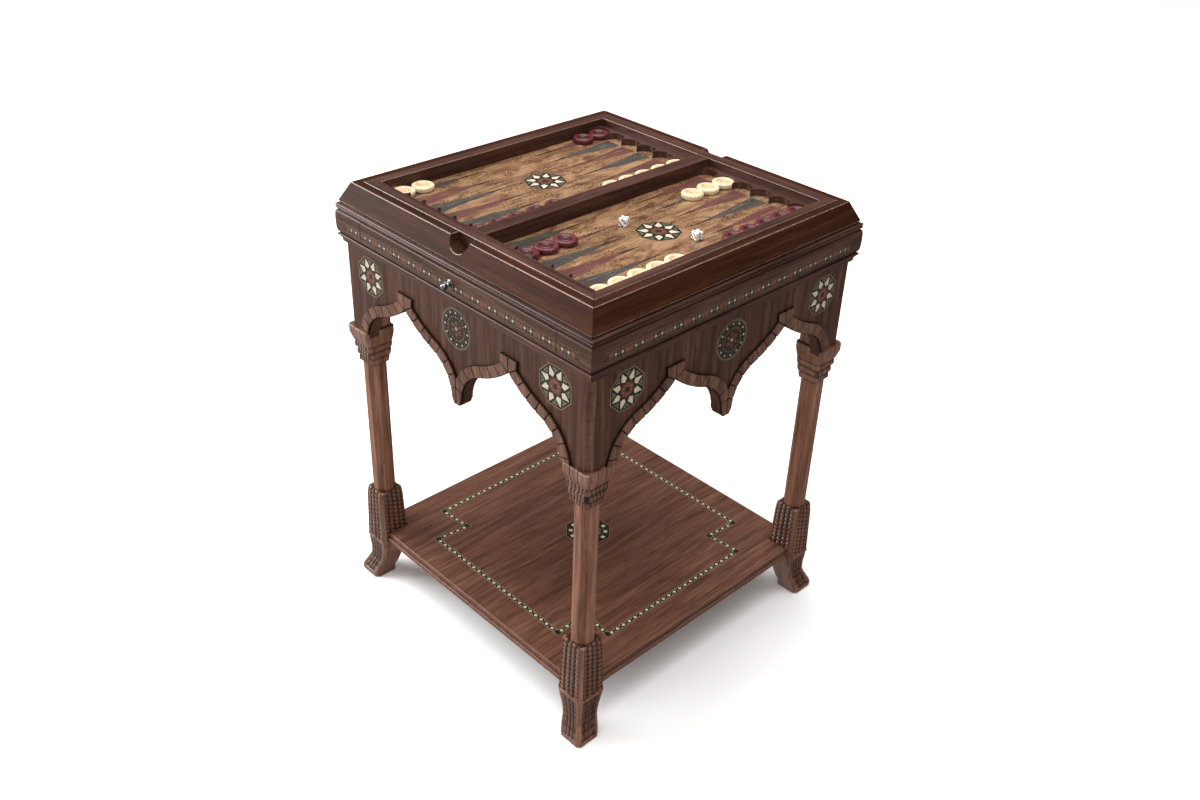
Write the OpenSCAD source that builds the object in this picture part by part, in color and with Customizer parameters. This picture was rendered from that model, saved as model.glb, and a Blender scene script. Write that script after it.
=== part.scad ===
// Backgammon games table: a carved walnut stand with arched aprons, a drawer in the frieze,
// and a lift-out playing tray with checkers and dice. The front, with the drawer, faces -Y.
// Origin: centre of the footprint, on the floor. +Z is up.

/* [Table] */
// Overall height, floor to tray rim
table_h = 750; // [720:5:790]
// Half the distance between the outer faces of two opposite aprons
face = 277; // [274:1:280]
// Height of the shelf's top above the floor
shelf_top = 103; // [96:1:110]
// Thickness of the shelf board
shelf_t = 18; // [14:1:20]

/* [Legs] */
// Distance of a leg's centre line from the table's middle, along X and Y
leg_pos = 253.5; // [252:0.5:255]
// Width of the eight-sided shaft, across flats
shaft_w = 35; // [30:1:38]
// Height at which the shaft leaves the base block
block_top = 187; // [180:1:195]
// Width of the square foot where it meets the floor
foot_w = 45; // [42:1:48]

/* [Aprons] */
// Thickness of the apron boards
apron_t = 18; // [15:1:20]
// How far the arch trim stands proud of the apron
trim_t = 5; // [3:0.5:6]
// Width of the arch trim's band
trim_w = 19; // [16:1:20]
// Half the span of one arch
arch_half = 108; // [106:1:108]
// Radius of the arch's round lobe
lobe_r = 66; // [60:1:68]
// Radius of the reversed curve that rises to the arch's point
ogee_r = 200; // [190:1:215]

/* [Playing tray] */
// Half the width of the tray, outside
tray_half = 250.5; // [249.5:0.5:250.5]
// Half the width of the bar between the two wells
bar_half = 13; // [11:1:14]
// Distance from the middle to the wells' outer side
well_x = 234; // [230:1:236]
// Distance from the middle to the wells' front and back ends
well_y = 230.5; // [228:0.5:232]
// Depth of the playing field below the rim
well_d = 23; // [20:1:24]
// Height of the pocket ledges above the playing field
ledge_h = 11; // [9:1:13]
// Depth of the pocket ledges, front to back
ledge_d = 26.5; // [24:0.5:30]

/* [Checkers and dice] */
// Diameter of a checker
checker_d = 35.5; // [32:0.5:35.5]
// Thickness of a checker
checker_t = 9; // [7:0.5:10]
// Gap between neighbouring checkers
checker_gap = 0.5; // [0.4:0.1:1]
// Edge length of a die
die_w = 13; // [11:1:15]

/* [Drawer] */
// Width of the drawer front
drawer_w = 436; // [400:4:440]
// Depth of the drawer box, front to back
drawer_d = 430; // [380:10:460]
// Gap round the drawer front
drawer_gap = 0.6; // [0.5:0.1:1]

/* [Hidden] */
$fn = 48;
eps = 0.01;
lap = 1;              // how far the glued-up stretches of a leg run into each other
beyond = 300;         // further out than any outer face
mitre_gap = 0.1;      // hairline left open at each mitre, so that the four lengths stay separate
seat_gap = 0.5;       // clearance round the lift-out tray
rim_top = table_h;
case_top = table_h - 1;
case_rim = face - 12.5;     // outer edge of the case's flat top strip
case_foot = face + 3;       // bottom edge of the case's slope
slope_bottom = table_h - 31.5;
bead_top = table_h - 35;
bead_bottom = table_h - 43.5;
frieze_top = table_h - 46;
frieze_bottom = table_h - 82.5;
cove_top = table_h - 83.5;
apron_top = table_h - 98;
collar_top = table_h - 242;
collar_mid = table_h - 256;
collar_bottom = table_h - 270;
collar_cut = 5;
collar_foot_half = 23.5;    // half width of the collar's taper where it meets the capital
shaft_top = table_h - 308;
spring_z = table_h - 255;
pendant_z = table_h - 263;
arch_x = 119;         // each arch's point is this far from the table's middle
apex_bottom = table_h - 142;    // the flat-topped block over each arch's point
apex_top = table_h - 130;
apex_foot_half = trim_w * 0.86;
apex_top_half = trim_w * 0.94;
lobe_turn = 70;       // degrees of arc in the lobe
corner_cut = 10;      // chamfer at the table's upright corners
ridge_h = 5;
ridge_half = 27.5;
ridge_z = shelf_top - shelf_t - ridge_h;    // the shelf rests on the ridge
block_half = 26.5;    // half width of a base block at its foot
block_bevel_half = 24;
block_top_half = 21;
foot_top_half = 25;
foot_cut = 6;
waist_half = 21;
plinth_cut = 5;
trim_face = face + trim_t;
apron_in = face - apron_t;
moulding_in = face - 15;    // inner faces of the frieze boards and the bead
cove_in = moulding_in - 3;
frieze_face = face + 7.5;   // the frieze is fullest here
bead_face = face + 6.4;
board_face = face + 4;      // flat behind the bead and at the frieze's foot
field_z = rim_top - well_d;
floor_top = table_h - 38;
floor_t = 6;
runner_top = frieze_bottom + 4;
point_w = (well_x - bar_half) / 6;
checker_pitch = checker_d + checker_gap;
pocket_r = checker_d / 2 + 0.45;
box_w = drawer_w - 16;      // width of the drawer's box
pocket_y = well_y - ledge_d;
knob_reach = 16.5;    // the knob's ball ends this far in front of the frieze

// The starting layout: [well side, point counted from the bar, end of the board, how many]
RED_STACKS = [[-1, 6, 1, 2], [1, 6, 1, 5], [1, 2, -1, 3], [-1, 1, -1, 5]];
CREAM_STACKS = [[-1, 1, 1, 5], [1, 2, 1, 3], [1, 6, -1, 5], [-1, 6, -1, 2]];
function stack_places(stacks) = [
    for (s = stacks, i = [0:s[3] - 1])
        [s[0] * (bar_half + point_w * (s[1] - 0.5)), s[2] * (pocket_y - i * checker_pitch)]
];
RED_PLACES = stack_places(RED_STACKS);
CREAM_PLACES = stack_places(CREAM_STACKS);
DICE = [[77, -25, 24], [178, 22, -12]];   // x, y and turn of each die

SIDES = ["front", "right", "back", "left"];
CORNERS = ["front_right", "back_right", "back_left", "front_left"];
function numbered(base, n) = [for (i = [1:n]) str(base, "_", i < 10 ? "0" : "", i)];
RED_NAMES = numbered("red_checker", 15);
CREAM_NAMES = numbered("cream_checker", 15);
DIE_NAMES = numbered("die", 2);
TABLE_NAMES = [
    "leg_front_right", "leg_back_right", "leg_back_left", "leg_front_left",
    "apron_front", "apron_right", "apron_back", "apron_left",
    "arch_trim_front", "arch_trim_right", "arch_trim_back", "arch_trim_left",
    "shelf", "carcass_bottom", "cove_moulding", "frieze_boards", "drawer_guides",
    "case_floor", "bead_moulding", "case_moulding"
];
TRAY_NAMES = ["tray_rim", "centre_bar", "playing_field_left", "playing_field_right", "pocket_ledges"];
DRAWER_NAMES = ["drawer_front", "drawer_box", "drawer_knob"];

// ---------- shared shapes ----------

// A square with cut corners, centred, as a flat outline: half-width h, corner cut c
module cut_square(h, c) {
    polygon([[-h + c, -h], [h - c, -h], [h, -h + c], [h, h - c], [h - c, h], [-h + c, h], [-h, h - c],
             [-h, -h + c]]);
}

// A thin slice of a cut square from height z up, for hulls. Stretches of a leg lap by its thickness.
module slice(x, y, z, h, c) {
    translate([x, y, z])
        linear_extrude(lap)
            cut_square(h, c);
}

// One straight length of moulding along the front. The profile's points are [distance out, z].
module front_run(profile, reach) {
    intersection() {
        rotate([90, 0, 90])
            linear_extrude(2 * reach, center = true)
                polygon([for (p = profile) [-p[0], p[1]]]);
        linear_extrude(table_h + 1)
            polygon([[0, -mitre_gap], [reach, -reach - mitre_gap], [-reach, -reach - mitre_gap]]);
    }
}

// The same length on all four sides, mitred at the corners
module mitred_frame(profile, reach = beyond) {
    for (turn = [0:90:270])
        rotate(turn)
            front_run(profile, reach);
}

// ---------- arches ----------

// Half of an arch, from its springing to its point, moved outward by o.
// Points are [distance from the arch's centre line, z].
function lobe_points(o) = [
    for (a = [0:10:lobe_turn])
        [arch_half - lobe_r + (lobe_r + o) * cos(a), spring_z + (lobe_r + o) * sin(a)]
];
ogee_cx = arch_half - lobe_r + (lobe_r + ogee_r) * cos(lobe_turn);
ogee_cz = spring_z + (lobe_r + ogee_r) * sin(lobe_turn);
function ogee_end(o, stop) = acos((ogee_cx - stop) / (ogee_r - o));
function ogee_points(o, stop) = [
    for (i = [1:6])
        let (b = lobe_turn + (ogee_end(o, stop) - lobe_turn) * i / 6)
            [ogee_cx - (ogee_r - o) * cos(b), ogee_cz - (ogee_r - o) * sin(b)]
];
function mirrored(points) = [for (i = [len(points) - 1:-1:0]) [-points[i][0], points[i][1]]];

// The opening of one arch, open below
module arch_opening() {
    half = concat([[arch_half, pendant_z - 60]], lobe_points(0), ogee_points(0, 0));
    polygon(concat(half, mirrored(half)));
}

// The outer edge of the trim round one arch, with the flat-topped block over its point
module arch_outer() {
    block = [[apex_foot_half, apex_bottom], [apex_top_half, apex_top]];
    half = concat([[arch_half + trim_w, pendant_z - 60]], lobe_points(trim_w),
                  ogee_points(trim_w, apex_foot_half), block);
    polygon(concat(half, mirrored(half)));
}

// The lower limit of an apron and its trim: the legs' collars at the ends, the pendant in the middle
module apron_limit() {
    pendant_half = arch_x - arch_half + 1;
    tip_half = pendant_half - 6;
    shoulder_z = spring_z + 4;
    outer = arch_x + arch_half - eps;
    polygon([[-face, collar_top], [-outer, collar_top], [-outer, shoulder_z], [-pendant_half, shoulder_z],
             [-tip_half, pendant_z], [tip_half, pendant_z], [pendant_half, shoulder_z],
             [outer, shoulder_z], [outer, collar_top], [face, collar_top], [face, apron_top],
             [-face, apron_top]]);
}

module apron() {
    color("#5a3a2c")
        intersection() {
            translate([0, -apron_in, 0])
                rotate([90, 0, 0])
                    linear_extrude(apron_t)
                        difference() {
                            apron_limit();
                            for (side = [-1, 1])
                                translate([side * arch_x, 0])
                                    arch_opening();
                        }
            // ends cut at 45 degrees against the leg's corner strip
            linear_extrude(table_h)
                polygon([[corner_cut - face, -face], [face - corner_cut, -face],
                         [apron_in - corner_cut, -apron_in], [corner_cut - apron_in, -apron_in]]);
        }
}

module arch_trim() {
    color("#7a543c")
        translate([0, -face, 0])
            rotate([90, 0, 0])
                linear_extrude(trim_t)
                    difference() {
                        intersection() {
                            apron_limit();
                            for (side = [-1, 1])
                                translate([side * arch_x, 0])
                                    arch_outer();
                        }
                        for (side = [-1, 1])
                            translate([side * arch_x, 0])
                                arch_opening();
                    }
}

// ---------- legs ----------

// The post behind the aprons, with the strip that shows between them at the corner
module leg_post() {
    back = 2 * leg_pos - face + 2;
    strip = apron_in - corner_cut;
    translate([0, 0, collar_top - lap])
        linear_extrude(apron_top - collar_top + lap)
            polygon([[face - corner_cut, -face], [face, corner_cut - face], [apron_in, -strip],
                     [apron_in, -back], [back, -back], [back, -apron_in], [strip, -apron_in]]);
}

// The collar that carries the arch trim round the corner, and its taper down to the capital
module leg_collar() {
    low = arch_x + arch_half;
    half = (trim_face - low) / 2;
    mid = (trim_face + low) / 2;
    translate([mid, -mid, collar_mid])
        linear_extrude(collar_top - collar_mid)
            cut_square(half, collar_cut);
    hull() {
        slice(mid, -mid, collar_mid, half, collar_cut);
        slice(leg_pos, -leg_pos, collar_bottom, collar_foot_half, collar_cut);
    }
}

// Three tiers, each wider than the one below
module capital() {
    tier_halves = [20, 22.5, 24];
    tier_h = (collar_bottom - shaft_top) / 3;
    for (tier = [0:2])
        translate([leg_pos, -leg_pos, shaft_top + tier * tier_h])
            linear_extrude(tier_h + lap)
                cut_square(tier_halves[tier], 6);
}

// The foot curves in to a waist under the ridge, then spreads outward to the floor
module leg_foot() {
    waist_pos = leg_pos + 5;
    waist_z = 36;
    foot_pos = leg_pos + 14.5;
    plinth_h = 10;
    translate([leg_pos, -leg_pos, ridge_z])
        linear_extrude(ridge_h)
            cut_square(ridge_half, foot_cut);
    hull() {
        slice(leg_pos, -leg_pos, ridge_z - eps, foot_top_half, foot_cut);
        slice(waist_pos, -waist_pos, waist_z, waist_half, foot_cut);
    }
    hull() {
        slice(waist_pos, -waist_pos, waist_z, waist_half, foot_cut);
        slice(foot_pos, -foot_pos, plinth_h, foot_w / 2, plinth_cut);
    }
    translate([foot_pos, -foot_pos, 0])
        linear_extrude(plinth_h + lap)
            cut_square(foot_w / 2, plinth_cut);
}

// The block under the shaft widens downward, with a bevel round its top
module base_block() {
    bevel_z = block_top - 18;
    hull() {
        slice(leg_pos, -leg_pos, block_top - lap, block_top_half, 6);
        slice(leg_pos, -leg_pos, bevel_z, block_bevel_half, 7);
    }
    hull() {
        slice(leg_pos, -leg_pos, bevel_z, block_bevel_half, 7);
        slice(leg_pos, -leg_pos, ridge_z + ridge_h - lap, block_half, 8);
    }
}

// The eight-sided shaft, let into the block below and the capital above
module leg_shaft() {
    seat = 4;
    translate([leg_pos, -leg_pos, block_top - seat])
        rotate(22.5)
            cylinder(h = shaft_top - block_top + seat + lap, d = shaft_w / cos(22.5), $fn = 8);
}

module leg() {
    color("#5e3d2c") {
        leg_post();
        leg_collar();
        capital();
        leg_shaft();
        base_block();
        leg_foot();
    }
}

// ---------- shelf and carcass ----------

// The board's edge is stepped. Its corners are notched round the base blocks.
module shelf() {
    upper_half = face - 9.5;
    lower_half = upper_half + 3;
    groove_half = upper_half - 2;
    groove_h = 1;
    bottom = shelf_top - shelf_t;
    notch = leg_pos - block_half;
    notch_w = 60;
    color("#6b4331")
        difference() {
            union() {
                translate([-upper_half, -upper_half, bottom + shelf_t / 2])
                    cube([2 * upper_half, 2 * upper_half, shelf_t / 2]);
                translate([-lower_half, -lower_half, bottom])
                    cube([2 * lower_half, 2 * lower_half, shelf_t / 2 - groove_h]);
                translate([-groove_half, -groove_half, bottom])
                    cube([2 * groove_half, 2 * groove_half, shelf_t / 2 + eps]);
            }
            for (x = [-1, 1], y = [-1, 1])
                translate([x * (notch + notch_w / 2), y * (notch + notch_w / 2), shelf_top])
                    cube([notch_w, notch_w, 3 * shelf_t], center = true);
        }
}

// A hollow curve under a bead, between the aprons and the frieze
module cove_moulding() {
    bead_r = 2;
    z = cove_top;
    color("#6a4534")
        mitred_frame([[cove_in, apron_top], [face + 0.5, apron_top], [face + 1.2, apron_top + 4],
                      [face + 3, apron_top + 7.5], [face + 5.5, apron_top + 9], [bead_face, z - bead_r * 2],
                      [bead_face, z - bead_r], [face + 5, z - 0.5], [face + 3.5, z], [cove_in, z]]);
}

module carcass_bottom() {
    half = cove_in - seat_gap;
    bottom = apron_top + 1;
    color("#4d3226")
        translate([-half, -half, bottom])
            cube([2 * half, 2 * half, frieze_bottom - bottom]);
}

FRIEZE_PROFILE = [[moulding_in, frieze_bottom], [board_face, frieze_bottom], [face + 6, frieze_bottom + 2.5],
                  [face + 7, frieze_bottom + 7], [frieze_face, frieze_bottom + 16],
                  [frieze_face - 0.1, frieze_top - 8], [face + 6.8, frieze_top - 2], [face + 5.6, frieze_top],
                  [moulding_in, frieze_top]];

// The drawer front's place in the frieze, with a gap round it
module drawer_window(gap) {
    behind = 6;
    translate([-drawer_w / 2 - gap, -beyond, frieze_bottom - 1])
        cube([drawer_w + 2 * gap, beyond - moulding_in + behind, frieze_top - frieze_bottom + 2]);
}

// The frieze's four sides. The front one has the drawer between its two ends.
module frieze_boards() {
    color("#6d4636")
        difference() {
            mitred_frame(FRIEZE_PROFILE);
            drawer_window(drawer_gap);
        }
}

// Two rails on the carcass bottom that steer the drawer box
module drawer_guides() {
    guide_w = 18;
    guide_x = box_w / 2 + 1 + guide_w / 2;
    color("#54382a")
        for (side = [-1, 1])
            translate([side * guide_x - guide_w / 2, -drawer_d / 2 - 30, frieze_bottom])
                cube([guide_w, drawer_d + 40, frieze_top - frieze_bottom - 6]);
}

// The board that the playing tray rests on
module case_floor() {
    half = moulding_in - seat_gap;
    color("#553728")
        translate([-half, -half, floor_top - floor_t])
            cube([2 * half, 2 * half, floor_t]);
}

// Two beads, one above the other
module bead_moulding() {
    z = bead_bottom;
    bead_h = (bead_top - bead_bottom) / 2;
    out = bead_face;
    color("#7d5644")
        mitred_frame([[moulding_in, frieze_top], [board_face, frieze_top], [board_face, z], [out - 1, z],
                      [out, z + 1.2], [out, z + bead_h - 1.2], [out - 1.2, z + bead_h],
                      [out, z + bead_h + 1.2], [out, bead_top - 1.2], [out - 1, bead_top],
                      [moulding_in, bead_top]]);
}

// The sloping top of the case, with a round finger notch in the middle of its front and back
module case_moulding() {
    notch_r = 20.5;
    inner = tray_half + seat_gap;
    quirk = face + 0.5;
    color("#5b3626")
        difference() {
            mitred_frame([[inner, bead_top], [quirk, bead_top], [quirk, slope_bottom - 1],
                          [case_foot, slope_bottom], [case_rim, case_top], [inner, case_top]]);
            translate([0, 0, rim_top])
                rotate([90, 0, 0])
                    cylinder(h = 600, r = notch_r, center = true);
        }
}

// ---------- playing tray ----------

module tray_rim() {
    color("#5f4036")
        difference() {
            mitred_frame([[well_x, floor_top], [tray_half, floor_top], [tray_half, rim_top],
                          [well_y, rim_top], [well_y, field_z - 8], [well_x, field_z - 8]]);
            // the wells' sides reach further out than their ends
            translate([-well_x, -well_y, floor_top - 1])
                cube([2 * well_x, 2 * well_y, well_d + 60]);
        }
}

module centre_bar() {
    color("#5f4036")
        translate([-bar_half, -well_y, floor_top])
            cube([2 * bar_half, 2 * well_y, rim_top - floor_top]);
}

module playing_field(side) {
    left = side > 0 ? bar_half : -well_x;
    color("#b98a4e")
        translate([left, -well_y, floor_top])
            cube([well_x - bar_half, 2 * well_y, field_z - floor_top]);
}

// A ledge at each end of each well, scooped with a half-round pocket for every point
module pocket_ledges() {
    color("#6a4a3c")
        for (side = [-1, 1], end = [-1, 1])
            difference() {
                translate([side > 0 ? bar_half : -well_x, end > 0 ? pocket_y : -well_y, field_z])
                    cube([well_x - bar_half, ledge_d, ledge_h]);
                for (p = [1:6])
                    translate([side * (bar_half + point_w * (p - 0.5)), end * pocket_y, field_z - 1])
                        cylinder(h = ledge_h + 2, r = pocket_r);
            }
}

// ---------- drawer ----------

module drawer_front() {
    color("#6d4636")
        intersection() {
            front_run(FRIEZE_PROFILE, beyond);
            drawer_window(0);
            translate([-beyond, -beyond, frieze_bottom + 0.4])
                cube([2 * beyond, beyond, frieze_top - frieze_bottom - 0.8]);
        }
}

// Sides, back and bottom, glued up as one open box behind the front
module drawer_box() {
    wall = 8;
    base = 5;
    z = frieze_bottom + 0.4;
    box_h = frieze_top - frieze_bottom - 5;
    color("#8a6244")
        difference() {
            translate([-box_w / 2, -moulding_in, z])
                cube([box_w, drawer_d, box_h]);
            translate([wall - box_w / 2, wall - moulding_in, z + base])
                cube([box_w - 2 * wall, drawer_d - 2 * wall, box_h]);
        }
}

// A turned knob on a round rose
module drawer_knob() {
    color("#8b8885")
        translate([0, -frieze_face, (frieze_top + frieze_bottom) / 2])
            rotate([90, 0, 0])
                rotate_extrude()
                    polygon([[0, 0], [7.5, 0], [7.5, 1.2], [5.2, 2.2], [2.6, 2.8], [2.2, 5], [3.2, 6.4],
                             [4.7, 8.2], [5.4, 11], [4.9, 13.4], [3.4, 15.4], [1.6, 16.3], [0, knob_reach]]);
}

// ---------- checkers and dice ----------

// A turned disc with two sunk rings on each face
module checker(tone) {
    r = checker_d / 2;
    t = checker_t;
    groove = 0.5;
    color(tone)
        rotate_extrude()
            polygon([[0, 0], [r * 0.55, 0], [r * 0.58, groove], [r * 0.64, groove], [r * 0.67, 0],
                     [r - 1, 0], [r, 1], [r, t - 1], [r - 1, t], [r * 0.67, t], [r * 0.64, t - groove],
                     [r * 0.58, t - groove], [r * 0.55, t], [0, t]]);
}

module placed_checker(place, tone) {
    translate([place[0], place[1], field_z])
        checker(tone);
}

module die(place) {
    color("#f1eee6")
        translate([place[0], place[1], field_z + die_w / 2])
            rotate(place[2])
                intersection() {
                    cube(die_w, center = true);
                    sphere(r = die_w * 0.76);
                }
}

// ---------- the set ----------

for (i = [0:3]) {
    rotate(90 * i) leg();
    rotate(90 * i) apron();
    rotate(90 * i) arch_trim();
}
shelf();
carcass_bottom();
cove_moulding();
frieze_boards();
drawer_guides();
case_floor();
bead_moulding();
case_moulding();
tray_rim();
centre_bar();
playing_field(-1);  // playing_field_left
playing_field(1);  // playing_field_right
pocket_ledges();
drawer_front();
drawer_box();
drawer_knob();
for (i = [0:14]) {
    placed_checker(RED_PLACES[i], "#6e1f26");
    placed_checker(CREAM_PLACES[i], "#e9d8b4");
}
for (i = [0:1])
    die(DICE[i]);
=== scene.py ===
import math
import random

import bmesh
import bpy
from mathutils import Matrix, Vector, noise


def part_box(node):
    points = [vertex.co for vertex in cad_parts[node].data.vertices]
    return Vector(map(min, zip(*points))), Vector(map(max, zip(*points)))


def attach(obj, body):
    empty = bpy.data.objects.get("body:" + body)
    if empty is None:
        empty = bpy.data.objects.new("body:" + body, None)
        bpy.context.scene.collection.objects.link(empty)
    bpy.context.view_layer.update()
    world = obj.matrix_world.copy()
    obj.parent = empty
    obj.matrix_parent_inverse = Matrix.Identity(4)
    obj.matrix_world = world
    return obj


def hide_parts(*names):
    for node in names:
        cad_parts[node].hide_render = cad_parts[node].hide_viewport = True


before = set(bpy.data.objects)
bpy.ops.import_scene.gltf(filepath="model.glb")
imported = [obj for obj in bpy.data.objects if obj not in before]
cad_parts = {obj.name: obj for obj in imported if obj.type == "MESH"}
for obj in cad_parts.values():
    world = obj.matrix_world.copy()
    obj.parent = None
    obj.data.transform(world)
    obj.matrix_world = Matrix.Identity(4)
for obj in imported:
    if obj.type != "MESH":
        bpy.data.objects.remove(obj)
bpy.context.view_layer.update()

# Sizes are in millimetres, like the CAD model's. MM turns them into Blender's metres.
MM = 0.001
SIDES = ["front", "right", "back", "left"]
CORNERS = ["front_right", "back_right", "back_left", "front_left"]


def low(node):
    """The least corner of a CAD node's box, in millimetres."""
    return [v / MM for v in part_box(node)[0]]


def high(node):
    """The greatest corner of a CAD node's box, in millimetres."""
    return [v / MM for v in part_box(node)[1]]


# ---------- sizes taken from the frame ----------

TOP = high("tray_rim")[2]
FACE = -low("apron_front")[1]              # outer face of the aprons, from the middle
APRON_TOP = high("apron_front")[2]
PENDANT_Z = low("apron_front")[2]
TRIM_FACE = -low("arch_trim_front")[1]     # outer face of the arch trims
FIELD_Z = high("playing_field_left")[2]
BAR_HALF = high("centre_bar")[0]
WELL_X = high("playing_field_right")[0]
SHELF_TOP = high("shelf")[2]
FRIEZE_LOW = low("frieze_boards")[2]
FRIEZE_HIGH = high("frieze_boards")[2]
FRIEZE_FACE = high("frieze_boards")[0]
BEAD_LOW = low("bead_moulding")[2]
BEAD_HIGH = high("bead_moulding")[2]
BEAD_FACE = high("bead_moulding")[0]
COVE_HIGH = high("cove_moulding")[2]
DRAWER_HALF = high("drawer_front")[0]

# ---------- shapes shared with the CAD model ----------

LEG = 253.5            # a leg's centre line, from the middle along X and Y
SHAFT_W = 35
COLLAR_TOP = TOP - 242
COLLAR_MID = TOP - 256
COLLAR_LOW = TOP - 270
SHAFT_TOP = TOP - 308
BLOCK_TOP = TOP - 563
RIDGE_Z = SHELF_TOP - 23
ARCH_X = 119           # an arch's centre line
ARCH_HALF = 108
LOBE_R = 66
LOBE_TURN = 70
OGEE_R = 200
TRIM_W = 19
SPRING_Z = TOP - 255
CORNER_CUT = 10
POCKET_Y = 204         # front edge of the pocket ledges, from the middle
POINT_W = (WELL_X - BAR_HALF) / 6


# ---------- camera, light and floor ----------

def make_camera():
    """The camera, turned a little about its own axis."""
    eye = Vector((1.1911, -1.1742, 1.4326))
    target = Vector((0.0029, 0.0143, 0.375))
    roll = 0.0394
    ahead = (target - eye).normalized()
    level = ahead.cross(Vector((0, 0, 1))).normalized()
    above = level.cross(ahead)
    right = math.cos(roll) * level + math.sin(roll) * above
    up = math.cos(roll) * above - math.sin(roll) * level
    data = bpy.data.cameras.new("camera")
    data.sensor_width = 36
    data.lens = 35.64
    data.clip_end = 100
    camera = bpy.data.objects.new("camera", data)
    turn = Matrix((right, up, -ahead)).transposed().to_4x4()
    camera.matrix_world = Matrix.Translation(eye) @ turn
    bpy.context.scene.collection.objects.link(camera)
    bpy.context.scene.camera = camera


def area_light(name, place, aim, size, power, tint):
    """A soft rectangular light turned to a point."""
    data = bpy.data.lights.new(name, "AREA")
    data.shape = "RECTANGLE"
    data.size, data.size_y = size
    data.energy = power
    data.color = tint
    lamp = bpy.data.objects.new(name, data)
    lamp.location = place
    lamp.rotation_mode = "QUATERNION"
    lamp.rotation_quaternion = (Vector(aim) - Vector(place)).to_track_quat("-Z", "Y")
    bpy.context.scene.collection.objects.link(lamp)


def make_light():
    """Three soft lights, a weak sun from above and a pale surround."""
    area_light("window", (-3.0, -2.1, 1.7), (0, 0, 0.5), (2.6, 2.6), 200, (0.95, 0.97, 1.0))
    area_light("ceiling", (-0.3, 0.1, 3.8), (0, 0, 0.5), (3.6, 3.6), 110, (1.0, 0.99, 0.98))
    sky = bpy.data.lights.new("overhead", "SUN")
    sky.energy = 1.9
    sky.angle = math.radians(70)
    bpy.context.scene.collection.objects.link(bpy.data.objects.new("overhead", sky))
    area_light("fill", (3.4, -1.6, 2.4), (0, 0, 0.4), (2.6, 2.2), 32, (1.0, 0.96, 0.92))
    world = bpy.data.worlds.new("studio")
    bpy.context.scene.world = world
    world.use_nodes = True
    nodes, links = world.node_tree.nodes, world.node_tree.links
    way = nodes.new("ShaderNodeTexCoord")
    across = nodes.new("ShaderNodeVectorMath")
    across.operation = "DOT_PRODUCT"
    across.inputs[1].default_value = (0.6, 0.8, 0)
    links.new(way.outputs["Generated"], across.inputs[0])
    ramp = nodes.new("ShaderNodeMapRange")
    ramp.inputs["From Min"].default_value = -0.9
    ramp.inputs["From Max"].default_value = 0.1
    ramp.inputs["To Min"].default_value = 0.75
    ramp.inputs["To Max"].default_value = 0.16
    links.new(across.outputs["Value"], ramp.inputs["Value"])
    seen = nodes.new("ShaderNodeLightPath")
    strength = nodes.new("ShaderNodeMix")
    strength.inputs["B"].default_value = 0.95
    links.new(seen.outputs["Is Camera Ray"], strength.inputs["Factor"])
    links.new(ramp.outputs["Result"], strength.inputs["A"])
    links.new(strength.outputs["Result"], nodes["Background"].inputs["Strength"])
    nodes["Background"].inputs["Color"].default_value = (1.0, 0.99, 0.98, 1)
    bpy.context.scene.view_settings.view_transform = "Standard"


def make_floor():
    """A large plain floor."""
    mesh = bpy.data.meshes.new("floor")
    reach = 14
    mesh.from_pydata([(-reach, -reach, 0), (reach, -reach, 0), (reach, reach, 0), (-reach, reach, 0)], [],
                     [(0, 1, 2, 3)])
    floor = bpy.data.objects.new("floor", mesh)
    bpy.context.scene.collection.objects.link(floor)
    mat = bpy.data.materials.new("floor_paint")
    mat.use_nodes = True
    nodes, links = mat.node_tree.nodes, mat.node_tree.links
    shader = nodes["Principled BSDF"]
    shader.inputs["Roughness"].default_value = 0.9
    shader.inputs["Specular IOR Level"].default_value = 0.1
    mottle = nodes.new("ShaderNodeTexNoise")
    mottle.inputs["Scale"].default_value = 3
    ramp = nodes.new("ShaderNodeValToRGB")
    ramp.color_ramp.elements[0].color = (0.93, 0.93, 0.93, 1)
    ramp.color_ramp.elements[1].color = (0.96, 0.96, 0.96, 1)
    links.new(mottle.outputs["Fac"], ramp.inputs["Fac"])
    links.new(ramp.outputs["Color"], shader.inputs["Base Color"])
    mesh.materials.append(mat)
    floor.visible_glossy = False


# ---------- materials ----------

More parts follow.
